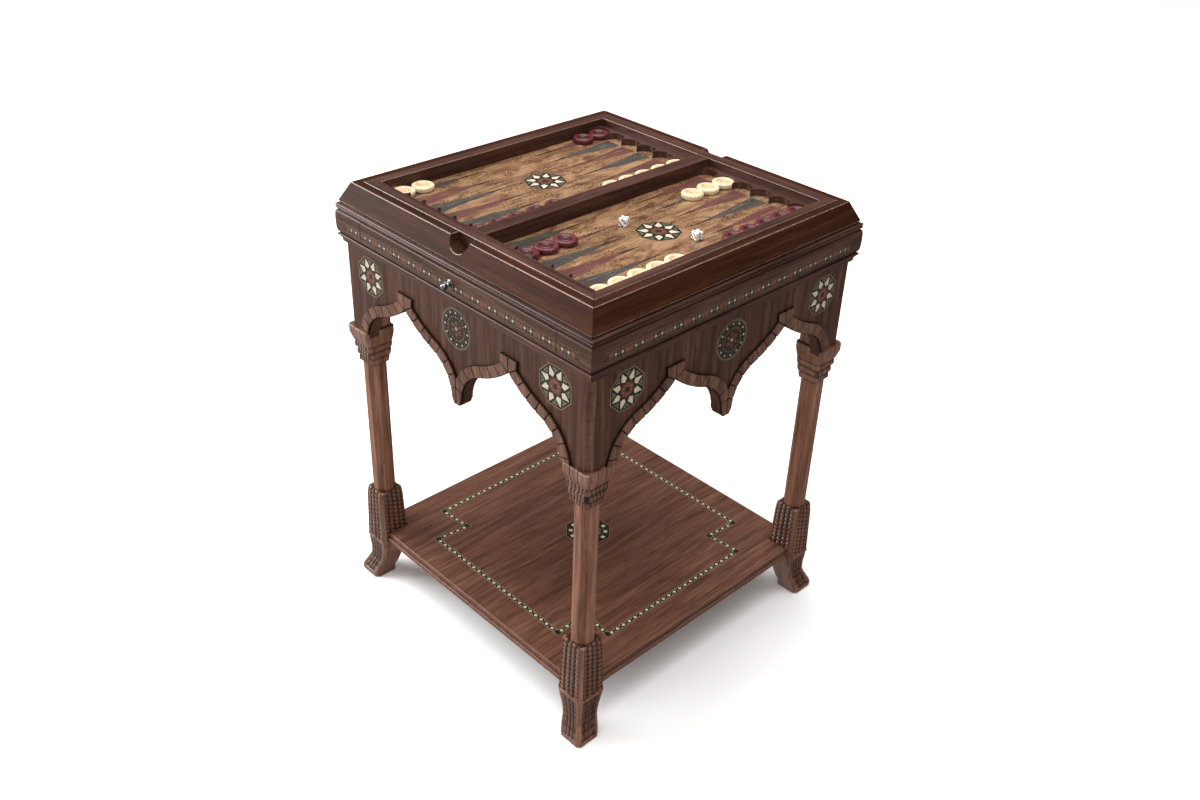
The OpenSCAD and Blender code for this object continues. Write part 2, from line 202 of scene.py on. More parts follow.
class Surface:
    """A material under construction: its node tree, its shader and the object coordinates."""

    def __init__(self, name, roughness, coat=0.0, coat_roughness=0.1, metallic=0.0, sheen=0.4):
        self.material = bpy.data.materials.new(name)
        self.material.use_nodes = True
        self.nodes = self.material.node_tree.nodes
        self.links = self.material.node_tree.links
        self.shader = self.nodes["Principled BSDF"]
        self.shader.inputs["Roughness"].default_value = roughness
        self.shader.inputs["Specular IOR Level"].default_value = sheen
        self.shader.inputs["Coat Weight"].default_value = coat
        self.shader.inputs["Coat Roughness"].default_value = coat_roughness
        self.shader.inputs["Metallic"].default_value = metallic
        self.place = self.nodes.new("ShaderNodeTexCoord").outputs["Object"]

    def stretched(self, scale, turn=(0, 0, 0)):
        """The surface's coordinates, turned and scaled."""
        mapping = self.nodes.new("ShaderNodeMapping")
        mapping.inputs["Rotation"].default_value = turn
        mapping.inputs["Scale"].default_value = scale
        self.links.new(self.place, mapping.inputs["Vector"])
        return mapping.outputs["Vector"]

    def noise(self, scale, detail=4, distortion=0.0, vector=None, roughness=0.5):
        """A noise texture."""
        node = self.nodes.new("ShaderNodeTexNoise")
        node.inputs["Scale"].default_value = scale
        node.inputs["Detail"].default_value = detail
        node.inputs["Roughness"].default_value = roughness
        node.inputs["Distortion"].default_value = distortion
        self.links.new(vector or self.place, node.inputs["Vector"])
        return node.outputs["Fac"]

    def ramp(self, value, *stops):
        """A colour ramp over a factor."""
        node = self.nodes.new("ShaderNodeValToRGB")
        elements = node.color_ramp.elements
        while len(elements) < len(stops):
            elements.new(0.5)
        for element, (position, colour) in zip(elements, stops):
            element.position = position
            element.color = (*colour, 1)
        self.links.new(value, node.inputs["Fac"])
        return node.outputs["Color"]

    def mix(self, amount, first, second, blend="MIX"):
        """A mix of two colours."""
        node = self.nodes.new("ShaderNodeMix")
        node.data_type = "RGBA"
        node.blend_type = blend
        for socket, value in ((node.inputs["Factor"], amount), (node.inputs[6], first),
                              (node.inputs[7], second)):
            if isinstance(value, float):
                socket.default_value = value
            elif isinstance(value, tuple):
                socket.default_value = (*value, 1)
            else:
                self.links.new(value, socket)
        return node.outputs[2]

    def attribute(self, name):
        """A value stored on the mesh."""
        node = self.nodes.new("ShaderNodeAttribute")
        node.attribute_name = name
        return node.outputs["Fac"]

    def bump(self, height, strength, distance):
        """Bends the surface's normals by a height."""
        node = self.nodes.new("ShaderNodeBump")
        node.inputs["Strength"].default_value = strength
        node.inputs["Distance"].default_value = distance
        self.links.new(height, node.inputs["Height"])
        self.links.new(node.outputs["Normal"], self.shader.inputs["Normal"])

    def colour(self, socket):
        """Sets the shader's base colour."""
        self.links.new(socket, self.shader.inputs["Base Color"])

    def roughness_from(self, value, smooth, rough):
        """Varies the roughness with a factor."""
        node = self.nodes.new("ShaderNodeMapRange")
        node.inputs["To Min"].default_value = smooth
        node.inputs["To Max"].default_value = rough
        self.links.new(value, node.inputs["Value"])
        self.links.new(node.outputs["Result"], self.shader.inputs["Roughness"])


WHITE = (1.0, 1.0, 1.0)


def along_axis(axis, fine, coarse):
    """Mapping scales that stretch a texture along one axis of the table."""
    return tuple(coarse if i == axis else fine for i in range(3))


def wood(name, dark, mid, light, axis=2, turn=(0, 0, 0), gloss=0.42, coat=0.02, coat_roughness=0.2,
         figure=1.0, shaded_hollows=False, sheen=0.12):
    """Straight-grained lacquered wood. The grain runs along the axis before the turn. Optionally a value
    stored on the mesh darkens carved hollows: painted shade.
    """
    s = Surface(name, gloss, coat, coat_roughness, sheen=sheen)
    streaks = s.noise(1, 6, 0.6 * figure, s.stretched(along_axis(axis, 130, 6), turn), 0.6)
    bands = s.noise(1, 3, 1.2 * figure, s.stretched(along_axis(axis, 26, 2.2), turn))
    pores = s.noise(1, 2, 0, s.stretched(along_axis(axis, 1500, 42), turn))
    body = s.ramp(streaks, (0.28, dark), (0.5, mid), (0.74, light))
    tone = s.ramp(bands, (0.3, (0.74, 0.72, 0.72)), (0.52, (0.96, 0.96, 0.96)), (0.7, (1.14, 1.1, 1.08)))
    body = s.mix(1.0, body, tone, "MULTIPLY")
    pore_tone = s.ramp(pores, (0.32, (0.45, 0.42, 0.4)), (0.46, WHITE))
    body = s.mix(0.75, body, pore_tone, "MULTIPLY")
    # Darkens the carving where it is cut deep: painted shade in the hollows.
    if shaded_hollows:
        hollow_shade = s.ramp(s.attribute("hollow_shade"), (0.0, WHITE), (0.45, (0.66, 0.6, 0.57)),
                       (1.0, (0.14, 0.10, 0.08)))
        body = s.mix(1.0, body, hollow_shade, "MULTIPLY")
    s.colour(body)
    s.roughness_from(streaks, gloss - 0.08, gloss + 0.1)
    s.bump(pores, 0.12, 0.0004)
    return s.material


def burl_wood(name):
    """Golden burl: swirling figure along Y, with clusters of dark reddish eyes."""
    s = Surface(name, 0.3, 0.12, 0.12, sheen=0.15)
    swirl = s.noise(1, 7, 1.6, s.stretched((48, 17, 48)), 0.62)
    streaks = s.noise(1, 5, 0.8, s.stretched((170, 10, 170)), 0.6)
    eyes = s.noise(1, 3, 0.6, s.stretched((620, 380, 620)))
    clusters = s.noise(1, 4, 1.0, s.stretched((30, 15, 30)))
    body = s.ramp(swirl, (0.28, (0.075, 0.033, 0.018)), (0.42, (0.18, 0.095, 0.050)),
                  (0.56, (0.29, 0.165, 0.086)), (0.76, (0.39, 0.24, 0.135)))
    body = s.mix(0.8, body, s.ramp(streaks, (0.33, (0.34, 0.27, 0.22)), (0.47, WHITE)), "MULTIPLY")
    spot = s.ramp(eyes, (0.40, (0.20, 0.085, 0.05)), (0.50, WHITE))
    where = s.ramp(clusters, (0.42, (0.12, 0.12, 0.12)), (0.58, WHITE))
    body = s.mix(where, body, s.mix(1.0, body, spot, "MULTIPLY"))
    s.colour(body)
    s.roughness_from(swirl, 0.24, 0.36)
    return s.material


def printed_point(name, dark, light):
    """Coloured veneer of a playing point, with burl showing through it in streaks."""
    s = Surface(name, 0.3, 0.12, 0.12, sheen=0.15)
    streaks = s.noise(1, 6, 0.8, s.stretched((190, 16, 190)), 0.7)
    grains = s.noise(1, 3, 0, s.stretched((900, 300, 900)))
    body = s.ramp(streaks, (0.3, dark), (0.58, light), (0.72, (0.36, 0.2, 0.1)))
    body = s.mix(0.45, body, s.ramp(grains, (0.35, (0.4, 0.4, 0.4)), (0.6, (1.2, 1.2, 1.2))), "MULTIPLY")
    s.colour(body)
    return s.material


def tessera(name, dark, light, gloss=0.32):
    """Small inlay pieces: bone, ebony, red wood or green wood."""
    s = Surface(name, gloss, 0.06, 0.12, sheen=0.15)
    cloud = s.noise(260, 4, 0.3)
    s.colour(s.ramp(cloud, (0.3, dark), (0.7, light)))
    s.roughness_from(cloud, gloss - 0.05, gloss + 0.08)
    return s.material


def turned_wood(name, dark, mid, light, gloss, hollow):
    """Polished checker wood, with fine rings and a faint straight grain, and painted shade in its dished
    middle.
    """
    s = Surface(name, gloss, 0.12, 0.1, sheen=0.3)
    grain = s.noise(1, 5, 0.5, s.stretched((60, 420, 420), (0, 0, 0.5)), 0.6)
    cloud = s.noise(45, 3, 0.4)
    body = s.ramp(grain, (0.3, dark), (0.52, mid), (0.75, light))
    body = s.mix(0.6, body, s.ramp(cloud, (0.3, (0.72, 0.7, 0.7)), (0.7, (1.12, 1.12, 1.12))), "MULTIPLY")
    # Darkens the dished middle towards the last colour: painted shade.
    hollow_shade = s.ramp(s.attribute("hollow_shade"), (0.0, WHITE), (1.0, hollow))
    s.colour(s.mix(1.0, body, hollow_shade, "MULTIPLY"))
    s.roughness_from(grain, gloss - 0.06, gloss + 0.08)
    return s.material


def polished_metal(name):
    """Metal with a faint haze."""
    s = Surface(name, 0.22, 0, 0.1, 1.0)
    haze = s.noise(900, 3)
    s.colour(s.ramp(haze, (0.3, (0.17, 0.165, 0.17)), (0.7, (0.27, 0.26, 0.265))))
    s.roughness_from(haze, 0.16, 0.3)
    return s.material


def dice_plastic(name):
    """Slightly uneven white plastic."""
    s = Surface(name, 0.25, 0.3, 0.08)
    haze = s.noise(300, 3)
    s.colour(s.ramp(haze, (0.3, (0.80, 0.79, 0.75)), (0.7, (0.88, 0.87, 0.84))))
    s.roughness_from(haze, 0.2, 0.3)
    return s.material


X, Y, Z = 0, 1, 2
WALNUT = ((0.030, 0.012, 0.007), (0.062, 0.026, 0.016), (0.110, 0.052, 0.034))
LEG_TONES = ((0.075, 0.030, 0.017), (0.165, 0.072, 0.042), (0.270, 0.135, 0.085))
CASE_TONES = ((0.018, 0.006, 0.003), (0.038, 0.0125, 0.006), (0.064, 0.024, 0.012))
SHELF_TONES = ((0.060, 0.025, 0.015), (0.132, 0.057, 0.036), (0.210, 0.106, 0.070))
TRIM_TONES = ((0.055, 0.024, 0.014), (0.112, 0.052, 0.032), (0.180, 0.095, 0.062))
RIM_TONES = ((0.030, 0.011, 0.008), (0.060, 0.024, 0.017), (0.098, 0.046, 0.034))
RAW_TONES = ((0.12, 0.060, 0.030), (0.26, 0.145, 0.075), (0.40, 0.245, 0.135))

M = {
    "apron": wood("walnut_apron", *WALNUT, axis=Z, figure=0.7),
    "leg": wood("walnut_leg", *LEG_TONES, axis=Z, figure=0.6, gloss=0.38),
    # Carved leg wood, darkened in its hollows: painted shade.
    "carved": wood("walnut_carved", *LEG_TONES, axis=Z, figure=0.6, gloss=0.3, shaded_hollows=True, sheen=0.45),
    "trim": wood("walnut_trim", *TRIM_TONES, axis=Z, figure=0.8, gloss=0.5, coat=0.15),
    # Near-black wood behind the arch trims: dark joints and stain, and painted shade along the trim's edge.
    "groove": wood("joint_and_shade_line", (0.004, 0.002, 0.001), (0.010, 0.005, 0.003), (0.02, 0.01, 0.007),
                   axis=Z,
                   gloss=0.7, coat=0.0),
    "case_x": wood("case_along_x", *CASE_TONES, axis=X, figure=1.4, gloss=0.42, coat=0.0, sheen=0.04),
    "case_y": wood("case_along_y", *CASE_TONES, axis=Y, figure=1.4, gloss=0.42, coat=0.0, sheen=0.04),
    "frieze_x": wood("frieze_along_x", *WALNUT, axis=X, gloss=0.32, coat=0.1),
    "frieze_y": wood("frieze_along_y", *WALNUT, axis=Y, gloss=0.32, coat=0.1),
    "bead_x": wood("bead_along_x", *RIM_TONES, axis=X, gloss=0.3, coat=0.2, coat_roughness=0.1),
    "bead_y": wood("bead_along_y", *RIM_TONES, axis=Y, gloss=0.3, coat=0.2, coat_roughness=0.1),
    "rim_x": wood("rim_along_x", *RIM_TONES, axis=X, gloss=0.4, coat=0.06),
    "rim_y": wood("rim_along_y", *RIM_TONES, axis=Y, gloss=0.4, coat=0.06),
    "ledge": wood("ledge_wood", *RIM_TONES, axis=X, gloss=0.2, coat=1.0, coat_roughness=0.06),
    "shelf": wood("shelf_wood", *SHELF_TONES, axis=Y, turn=(0, 0, 0.2), figure=2.2, gloss=0.4, coat=0.05),
    # Paler, glossier colour on bevelled edges: a painted highlight where the edges catch the light.
    "edge_highlight": wood("painted_edge_highlight", (0.10, 0.052, 0.038), (0.19, 0.115, 0.088), (0.30, 0.21, 0.175), axis=X,
                 gloss=0.3,
                 coat=0.5, coat_roughness=0.15, sheen=0.5),
    "raw_x": wood("raw_along_x", *RAW_TONES, axis=X, gloss=0.6, coat=0.0),
    "raw_y": wood("raw_along_y", *RAW_TONES, axis=Y, gloss=0.6, coat=0.0),
    "burl": burl_wood("golden_burl"),
    "slate": printed_point("point_slate", (0.030, 0.028, 0.026), (0.070, 0.062, 0.052)),
    "wine": printed_point("point_wine", (0.070, 0.024, 0.022), (0.135, 0.055, 0.045)),
    "needle": tessera("point_needle", (0.018, 0.012, 0.008), (0.035, 0.024, 0.016)),
    "bone": tessera("inlay_bone", (0.30, 0.255, 0.18), (0.46, 0.405, 0.31)),
    "ivory": tessera("inlay_ivory", (0.43, 0.375, 0.275), (0.62, 0.56, 0.44)),
    "umber": tessera("inlay_umber", (0.024, 0.011, 0.008), (0.048, 0.022, 0.015)),
    "pearl": tessera("inlay_pearl", (0.20, 0.20, 0.155), (0.36, 0.36, 0.29), 0.18),
    "gold": tessera("inlay_gold", (0.16, 0.115, 0.055), (0.28, 0.21, 0.115)),
    "green": tessera("inlay_green", (0.045, 0.050, 0.036), (0.105, 0.105, 0.072)),
    "ebony": tessera("inlay_ebony", (0.010, 0.008, 0.006), (0.024, 0.018, 0.013)),
    "red": tessera("inlay_red", (0.070, 0.023, 0.013), (0.135, 0.050, 0.031)),
    # The last colour of each checker wood is the painted shade in its dished middle.
    "cream": turned_wood("boxwood", (0.60, 0.44, 0.25), (0.76, 0.61, 0.40), (0.84, 0.73, 0.54), 0.3,
                         (0.80, 0.70, 0.60)),
    "crimson": turned_wood("red_stained_wood", (0.050, 0.009, 0.013), (0.115, 0.021, 0.029),
                           (0.19, 0.045, 0.053), 0.28, (0.45, 0.35, 0.35)),
    "metal": polished_metal("knob_metal"),
    "dice": dice_plastic("dice_white"),
    "pip": tessera("dice_pips", (0.008, 0.008, 0.01), (0.02, 0.02, 0.024)),
}


# ---------- mesh helpers ----------

def add_piece(name, bm, materials, body, stands_for=(), sharp=32, flat_faces=True):
    """Turns a finished bmesh into a piece that rides on a body."""
    mesh = bpy.data.meshes.new(name)
    bm.to_mesh(mesh)
    bm.free()
    for polygon in mesh.polygons:
        polygon.use_smooth = True
    mesh.set_sharp_from_angle(angle=math.radians(sharp))
    for key in materials:
        mesh.materials.append(M[key])
    piece = bpy.data.objects.new(name, mesh)
    bpy.context.scene.collection.objects.link(piece)
    if flat_faces:
        weighted = piece.modifiers.new("weighted_normals", "WEIGHTED_NORMAL")
        weighted.keep_sharp = True
    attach(piece, body)
    if stands_for:
        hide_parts(*stands_for)
    return piece


def merge(target, source):
    """Moves everything in one bmesh into another."""
    mesh = bpy.data.meshes.new("merge")
    source.to_mesh(mesh)
    source.free()
    target.from_mesh(mesh)
    bpy.data.meshes.remove(mesh)


def turned(bm, quarters):
    """Turns a bmesh by quarter turns about the upright axis."""
    bmesh.ops.rotate(bm, verts=bm.verts, cent=(0, 0, 0),
                     matrix=Matrix.Rotation(math.pi / 2 * quarters, 3, "Z"))
    return bm


def bevel_edges(bm, width, segments=2, least=25, material=-1):
    """Eases the sharp edges. The new faces take a material of their own if one is given."""
    edges = [e for e in bm.edges if len(e.link_faces) == 2 and e.calc_face_angle(0) > math.radians(least)]
    bmesh.ops.bevel(bm, geom=edges, offset=width * MM, segments=segments, profile=0.5, affect="EDGES",
                    clamp_overlap=True, material=material)


def copy_of(node):
    """A CAD node's shape with its split vertices joined and its flat faces whole again."""
    bm = bmesh.new()
    bm.from_mesh(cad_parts[node].data)
    bmesh.ops.remove_doubles(bm, verts=bm.verts, dist=0.00002)
    bmesh.ops.dissolve_limit(bm, angle_limit=math.radians(0.5), verts=bm.verts, edges=bm.edges)
    return bm


def split_by_side(bm):
    """Material 0 on lengths that run along X, and 1 on those that run along Y."""
    for face in bm.faces:
        centre = face.calc_center_median()
        face.material_index = 1 if abs(centre.x) > abs(centre.y) else 0


def eased(node, width, materials, body, segments=2, edge_highlight=None):
    """Stands for a CAD node with the same shape and eased edges, whose bevels can take a paler colour: a
    painted highlight.
    """
    bm = copy_of(node)
    if len(materials) > 1:
        split_by_side(bm)
    # Bevel faces take the paler edge colour, a painted highlight, except at the mitres.
    if edge_highlight:
        bevel_edges(bm, width, segments, material=len(materials))
        for face in bm.faces:
            mitre = min(abs(face.normal.x), abs(face.normal.y)) > 0.2
            if face.material_index == len(materials) and mitre:
                face.material_index = 0
        materials = materials + [edge_highlight]
    else:
        bevel_edges(bm, width, segments)
    return add_piece(node + "_finished", bm, materials, body, (node,))


def on_face(distance):
    """Places (across, height, out) on the front, out from a face at this distance."""
    return lambda u, v, h: Vector((u, -(distance + h), v)) * MM


def on_top(z):
    """Places (x, y, up) on a level surface at this height."""
    return lambda u, v, h: Vector((u, v, z + h)) * MM


def prism(bm, outline, place, bottom, top, material=0):
    """A closed prism of an outline between two heights."""
    lower = [bm.verts.new(place(u, v, bottom)) for u, v in outline]
    upper = [bm.verts.new(place(u, v, top)) for u, v in outline]
    faces = [bm.faces.new(upper), bm.faces.new(lower[::-1])]
    count = len(outline)
    for i in range(count):
        j = (i + 1) % count
        faces.append(bm.faces.new((lower[i], lower[j], upper[j], upper[i])))
    for face in faces:
        face.material_index = material
    return faces


def tile(bm, outline, place, top, material):
    """One inlay piece, which reaches a little way below the surface it lies in."""
    prism(bm, outline, place, -INLAY_BED, top, material)


def block(bm, outline, place, bottom, top, bevel, material=0):
    """A prism with eased edges."""
    part = bmesh.new()
    prism(part, outline, place, bottom, top, material)
    bmesh.ops.recalc_face_normals(part, faces=part.faces)
    bevel_edges(part, bevel)
    merge(bm, part)


def clip(outline, keeps):
    """Cuts a flat outline to the side where keeps(point) is positive; keeps is linear."""
    result = []
    for i, point in enumerate(outline):
        before = outline[i - 1]
        a, b = keeps(before), keeps(point)
        if (a > 0) != (b > 0):
            t = a / (a - b)
            result.append((before[0] + t * (point[0] - before[0]), before[1] + t * (point[1] - before[1])))
        if b > 0:
            result.append(point)
    return result


def shrunk(outline, by):
    """Moves each corner of a roughly convex outline inward, to leave a groove round it."""
    area = sum(a[0] * b[1] - b[0] * a[1] for a, b in zip(outline, outline[1:] + outline[:1]))
    sign = 1 if area > 0 else -1
    moved = []
    for i, (x, y) in enumerate(outline):
        px, py = outline[i - 1]
        nx, ny = outline[(i + 1) % len(outline)]
        ax, ay = x - px, y - py
        step_x, step_y = nx - x, ny - y
        la, lb = math.hypot(ax, ay) or 1, math.hypot(step_x, step_y) or 1
        mx = -(ay / la + step_y / lb) * sign
        my = (ax / la + step_x / lb) * sign
        length = math.hypot(mx, my) or 1
        spread = max(0.5, length / 2)
        moved.append((x + mx / length * by / spread, y + my / length * by / spread))
    return moved


def polar(radius, degrees, centre=(0, 0)):
    """The point at an angle and a distance from a centre."""
    a = math.radians(degrees)
    return (centre[0] + radius * math.cos(a), centre[1] + radius * math.sin(a))


def ring_outline(radius, sides, start, centre):
    """A regular polygon."""
    return [polar(radius, start + 360 * i / sides, centre) for i in range(sides)]


def hoop(bm, outer, inner, sides, start, centre, place, top, material):
    """A flat ring made of one tile per side."""
    a = ring_outline(outer, sides, start, centre)
    b = ring_outline(inner, sides, start, centre)
    for i in range(sides):
        j = (i + 1) % sides
        tile(bm, [a[i], a[j], b[j], b[i]], place, top, material)


def revolve(bm, profile, centre, axis, steps, hollow_shade=None):
    """Turns a profile of (radius, distance along the axis) about an upright or a forward axis. Each profile
    point can carry an amount of painted shade.
    """
    layer = bm.verts.layers.float.get("hollow_shade") or bm.verts.layers.float.new("hollow_shade")
    rings = []
    for k, (radius, along) in enumerate(profile):
        ring = []
        for i in range(steps if radius > 0 else 1):
            a = 2 * math.pi * i / steps
            u, v = radius * math.cos(a), radius * math.sin(a)
            spot = Vector((u, v, along)) if axis == Z else Vector((u, -along, v))
            vert = bm.verts.new((Vector(centre) + spot) * MM)
            vert[layer] = hollow_shade[k] if hollow_shade else 0
            ring.append(vert)
        rings.append(ring)
    for a, b in zip(rings, rings[1:]):
        for i in range(steps):
            j = (i + 1) % steps
            corners = [a[i % len(a)], a[j % len(a)], b[j % len(b)], b[i % len(b)]]
            bm.faces.new(list(dict.fromkeys(corners)))
    bmesh.ops.recalc_face_normals(bm, faces=bm.faces)


# ---------- aprons and arches ----------

OGEE_CX = ARCH_HALF - LOBE_R + (LOBE_R + OGEE_R) * math.cos(math.radians(LOBE_TURN))
OGEE_CZ = SPRING_Z + (LOBE_R + OGEE_R) * math.sin(math.radians(LOBE_TURN))


def arch_point(s, out, stop=0.0):
    """A point on half an arch, s from 0 at the springing to 1 at the point, moved outward."""
    lobe_share = 0.57
    if s <= lobe_share:
        a = math.radians(LOBE_TURN * s / lobe_share)
        return (ARCH_HALF - LOBE_R + (LOBE_R + out) * math.cos(a), SPRING_Z + (LOBE_R + out) * math.sin(a))
    radius = OGEE_R - out
    end = math.degrees(math.acos((OGEE_CX - stop) / radius))
    b = math.radians(LOBE_TURN + (end - LOBE_TURN) * (s - lobe_share) / (1 - lobe_share))
    return (OGEE_CX - radius * math.cos(b), OGEE_CZ - radius * math.sin(b))


def voussoirs():
    """Outlines of the blocks of half an arch, as (distance from its centre line, height)."""
    count, fine = 8, 4
    lip = 0.86 * TRIM_W
    blocks = []
    for k in range(count):
        steps = [(k + i / fine) / count for i in range(fine + 1)]
        inner = [arch_point(s, 0) for s in steps]
        outer = [arch_point(s, TRIM_W, lip) for s in steps]
        if k == 0:
            foot = PENDANT_Z
            inner = [(ARCH_HALF, foot)] + inner
            outer = [(ARCH_HALF + TRIM_W, foot)] + outer
        blocks.append(inner + outer[::-1])
    point = arch_point(1, 0)
    shoulder = arch_point(1, TRIM_W, lip)
    blocks.append([point, shoulder, (0.94 * TRIM_W, COLLAR_TOP + 112), (0, COLLAR_TOP + 112)])
    return blocks


def side_blocks():
    """All the trim's blocks on one side of the table, cut at the middle and at the legs' collars."""
    tip_half, rise = 6, 2
    result = []
    for arch in (-1, 1):
        for half in (-1, 1):
            for k, outline in enumerate(voussoirs()):
                moved = [(arch * ARCH_X + half * u, z) for u, z in outline]
                moved = clip(moved, lambda p: p[0] * arch)
                if arch == half:
                    moved = clip(moved, lambda p: p[1] - COLLAR_TOP)
                elif k == 0:
                    moved = clip(moved, lambda p: p[1] - PENDANT_Z - rise * (abs(p[0]) - tip_half))
                if len(moved) > 2:
                    result.append(moved)
    return result


def make_arches():
    """The aprons, and the separate blocks of their arch trims, over a near-black backing: dark joints between
    the blocks, and painted shade and stain along the trim's edge.
    """
    groove, depth = 0.75, TRIM_FACE - FACE
    for i, side in enumerate(SIDES):
        eased(f"apron_{side}", 0.5, ["apron"], "table")
        blocks = bmesh.new()
        joint_and_shade_backing = bmesh.new()
        place = on_face(FACE)
        for outline in side_blocks():
            block(blocks, shrunk(outline, groove), place, 0.2, depth, 1.1)
            # The backing shows between the blocks and along the trim's edge: dark joints, stain and painted
            # shade.
            prism(joint_and_shade_backing, outline, place, -0.2, depth - 2.2)
        add_piece(f"arch_blocks_{side}", turned(blocks, i), ["trim"], "table",
                  (f"arch_trim_{side}",))
        add_piece(f"arch_joints_and_shade_{side}", turned(joint_and_shade_backing, i), ["groove"], "table")


# ---------- inlay ----------

INLAY = ["bone", "ebony", "gold", "green", "red", "pearl", "ivory", "umber"]
BONE, EBONY, GOLD, GREEN, RED, PEARL, IVORY, UMBER = range(8)
GROUND, RAISED = 0.06, 0.14
INLAY_BED = 0.3


def star_medallion(bm, centre, place, radius, start, rays):
    """An eight-sided medallion: bone star points round a red rosette, small mosaic between them."""
    hoop(bm, radius, radius - 0.8, 8, start, centre, place, RAISED, GOLD)
    hoop(bm, radius - 0.8, radius - 2.6, 8, start, centre, place, GROUND, EBONY)
    tile(bm, ring_outline(radius - 2.6, 8, start, centre), place, GROUND, EBONY)
    tip, wide, heart = radius - 3.2, radius * 0.56, radius * 0.40
    for i in range(8):
        a = start + 45 * i
        kite = [polar(tip, a, centre), polar(wide, a + 18, centre), polar(heart, a, centre),
                polar(wide, a - 18, centre)]
        tile(bm, shrunk(kite, 0.25), place, RAISED, rays)
        between = a + 22.5
        rim = (radius - 3.4) * math.cos(math.radians(22.5))
        wedge = [polar(rim + 1.0, between - 13, centre), polar(rim + 1.0, between + 13, centre),
                 polar(wide + 1.6, between, centre)]
        tile(bm, shrunk(wedge, 0.5), place, RAISED - 0.03, GREEN)
        for t, r in ((-8, rim - 1.1), (8, rim - 1.1), (0, rim - 5.2)):
            tile(bm, ring_outline(1.25, 3, between + 180, polar(r, between + t, centre)), place, RAISED, GOLD)
        tile(bm, ring_outline(0.9, 4, a, polar(heart - 2.4, between, centre)), place, RAISED, EBONY)
    tile(bm, ring_outline(heart - 0.8, 8, start + 22.5, centre), place, RAISED - 0.04, RED)
    for i in range(8):
        tile(bm, ring_outline(1.0, 4, 45 * i, polar(heart * 0.56, 45 * i + start, centre)), place, RAISED,
             GOLD)
        tile(bm, ring_outline(1.0, 4, 45 * i + 22.5, polar(heart * 0.8, 45 * i + start, centre)), place,
             RAISED, EBONY)
    tile(bm, ring_outline(heart * 0.3, 8, start, centre), place, RAISED, EBONY)


def round_medallion(bm, centre, place, radius):
    """A round medallion: bone dots on dark ground round a mosaic of small tiles."""
    hoop(bm, radius, radius - 1.1, 32, 0, centre, place, RAISED, GREEN)
    hoop(bm, radius - 1.1, radius - 2, 32, 0, centre, place, GROUND, EBONY)
    hoop(bm, radius - 2, radius - 2.6, 32, 0, centre, place, RAISED, GOLD)
    tile(bm, ring_outline(radius - 2.6, 32, 0, centre), place, GROUND, EBONY)
    for i in range(12):
        a = 30 * i
        tile(bm, ring_outline(1.9, 6, a, polar(radius * 0.78, a, centre)), place, RAISED, PEARL)
        tile(bm, ring_outline(1.5, 3, a + 15, polar(radius * 0.80, a + 15, centre)), place, RAISED, GREEN)
        tile(bm, ring_outline(2.2, 4, a, polar(radius * 0.57, a + 15, centre)), place, RAISED - 0.03, RED)
        tile(bm, ring_outline(1.1, 6, a, polar(radius * 0.57, a, centre)), place, RAISED, GOLD)
    for i in range(6):
        a = 60 * i + 30
        kite = [polar(radius * 0.46, a, centre), polar(radius * 0.27, a + 24, centre),
                polar(radius * 0.12, a, centre), polar(radius * 0.27, a - 24, centre)]
        tile(bm, shrunk(kite, 0.25), place, RAISED - 0.02, RED)
        tile(bm, ring_outline(1.2, 3, a, polar(radius * 0.42, a + 30, centre)), place, RAISED, GREEN)
    tile(bm, ring_outline(radius * 0.1, 6, 0, centre), place, RAISED, GOLD)


def shelf_medallion(bm, centre, place, radius):
    """The eight-sided ring of bone squares in the middle of the shelf."""
    hoop(bm, radius, radius - 1, 8, 22.5, centre, place, RAISED, GOLD)
    tile(bm, ring_outline(radius - 1, 8, 22.5, centre), place, GROUND, EBONY)
    for i in range(12):
        a = 30 * i + 15
        tile(bm, ring_outline(4.6, 4, a + 45, polar(radius * 0.74, a, centre)), place, RAISED, IVORY)
        tile(bm, ring_outline(1.9, 3, a + 15, polar(radius * 0.84, a + 15, centre)), place, RAISED, GREEN)
        tile(bm, ring_outline(1.7, 3, a + 195, polar(radius * 0.64, a + 15, centre)), place, RAISED, GOLD)
    hoop(bm, radius * 0.55, radius * 0.52, 12, 0, centre, place, RAISED, GOLD)
    tile(bm, ring_outline(radius * 0.52, 12, 0, centre), place, RAISED - 0.04, RED)
    for i in range(8):
        a = 45 * i
        kite = [polar(radius * 0.47, a, centre), polar(radius * 0.24, a + 22, centre),
                polar(radius * 0.1, a, centre), polar(radius * 0.24, a - 22, centre)]
        tile(bm, shrunk(kite, 0.2), place, RAISED, BONE if i % 2 else EBONY)


def make_apron_inlay():
    """The medallions of the four aprons."""
    star_x, star_z, star_r = 210, 615, 33.5
    for i, side in enumerate(SIDES):
        bm = bmesh.new()
        place = on_face(FACE)
        for x in (-star_x, star_x):
            star_medallion(bm, (x, star_z), place, star_r, 22.5, BONE)
        round_medallion(bm, (0, star_z - 2), place, 32.5)
        bmesh.ops.recalc_face_normals(bm, faces=bm.faces)
        add_piece(f"apron_medallions_{side}", turned(bm, i), INLAY, "table", flat_faces=False)


